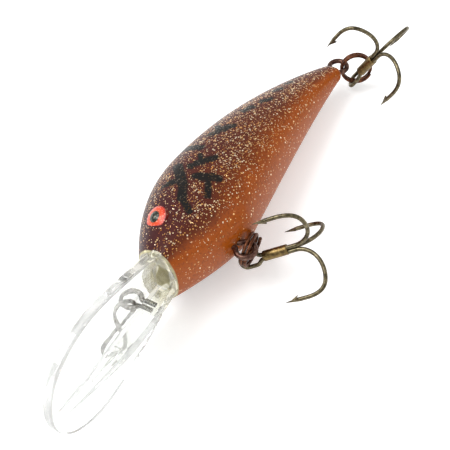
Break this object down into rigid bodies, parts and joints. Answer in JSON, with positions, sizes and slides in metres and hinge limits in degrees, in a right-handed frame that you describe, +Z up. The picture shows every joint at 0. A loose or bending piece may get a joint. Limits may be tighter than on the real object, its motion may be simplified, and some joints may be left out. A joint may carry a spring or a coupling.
{
  "type": "crankbait lure",
  "caption": "Deep-diving fish-shaped crankbait with a wide clear lip, a line tie with snap, hangers, split rings and treble hooks, lying on its flank.",
  "frame": {"origin": "centre of the overall box, at the level of the surface the lure lies on", "axes": "+X from the tail towards the tip of the diving lip, +Y towards the belly side, +Z up from the surface"},
  "size_m": [0.115, 0.0408, 0.0259],
  "materials": {
    "painted_shell": "translucent lacquer over glitter",
    "clear_lip": "moulded clear polycarbonate",
    "hanger_wire": "stained stainless wire",
    "snap_wire": "dark nickel wire",
    "ring_wire": "tarnished flat-wound wire",
    "hook_wire": "bronzed",
    "hook_braze": "brazed",
    "eye_iris": "metallic print under gloss",
    "eye_pupil": "gloss",
    "ballast": "turned",
    "rattle_ball": "polished"
  },
  "bodies": {
    "lure": {"body_shell_left": "painted_shell", "body_shell_right": "painted_shell", "diving_lip": "clear_lip", "line_tie_wire": "hanger_wire", "belly_hanger_wire": "hanger_wire", "tail_hanger_wire": "hanger_wire", "eye_iris_left": "eye_iris", "eye_iris_right": "eye_iris", "eye_pupil_left": "eye_pupil", "eye_pupil_right": "eye_pupil", "belly_ballast": "ballast"},
    "snap": {"line_snap": "snap_wire"},
    "belly_ring": {"belly_split_ring": "ring_wire"},
    "belly_treble": {"belly_treble_double": "hook_wire", "belly_treble_single": "hook_wire", "belly_treble_braze": "hook_braze"},
    "tail_ring": {"tail_split_ring": "ring_wire"},
    "tail_treble": {"tail_treble_double": "hook_wire", "tail_treble_single": "hook_wire", "tail_treble_braze": "hook_braze"},
    "ball_1": {"rattle_ball_1": "rattle_ball"},
    "ball_2": {"rattle_ball_2": "rattle_ball"},
    "ball_3": {"rattle_ball_3": "rattle_ball"}
  },
  "joints": [
    {"name": "belly_ring_swing", "type": "hinge", "parent": "lure", "child": "belly_ring", "pos_m": [0.00702, 0.00414, 0.01091], "axis": [0.0077, -0.9952, -0.0973], "range_deg": [-25, 0]},
    {"name": "belly_treble_swing", "type": "hinge", "parent": "belly_ring", "child": "belly_treble", "pos_m": [0.00827, 0.00398, 0.00577], "axis": [0.9374, 0.1804, 0.2979], "range_deg": [-60, 10]},
    {"name": "tail_ring_swing", "type": "hinge", "parent": "lure", "child": "tail_ring", "pos_m": [-0.04571, -0.00589, 0.00577], "axis": [-0.8956, -0.4303, -0.1128], "range_deg": [-20, 60]},
    {"name": "tail_treble_swing", "type": "hinge", "parent": "tail_ring", "child": "tail_treble", "pos_m": [-0.04592, -0.00396, 0.00247], "axis": [-0.5442, 0.8307, -0.1174], "range_deg": [0, 40]},
    {"name": "snap_swing", "type": "hinge", "parent": "lure", "child": "snap", "pos_m": [0.03175, -0.00817, 0.01165], "axis": [0.0772, -0.9928, -0.0916], "range_deg": [-20, 60]},
    {"name": "rattle_slide_1", "type": "slide", "parent": "lure", "child": "ball_1", "axis": [0.9969, 0, 0.0785], "range_m": [-0.0012, 0.0012]},
    {"name": "rattle_slide_2", "type": "slide", "parent": "lure", "child": "ball_2", "axis": [0.9969, 0, 0.0785], "range_m": [-0.0012, 0.0012]},
    {"name": "rattle_slide_3", "type": "slide", "parent": "lure", "child": "ball_3", "axis": [0.9969, 0, 0.0785], "range_m": [-0.0012, 0.0012]}
  ]
}
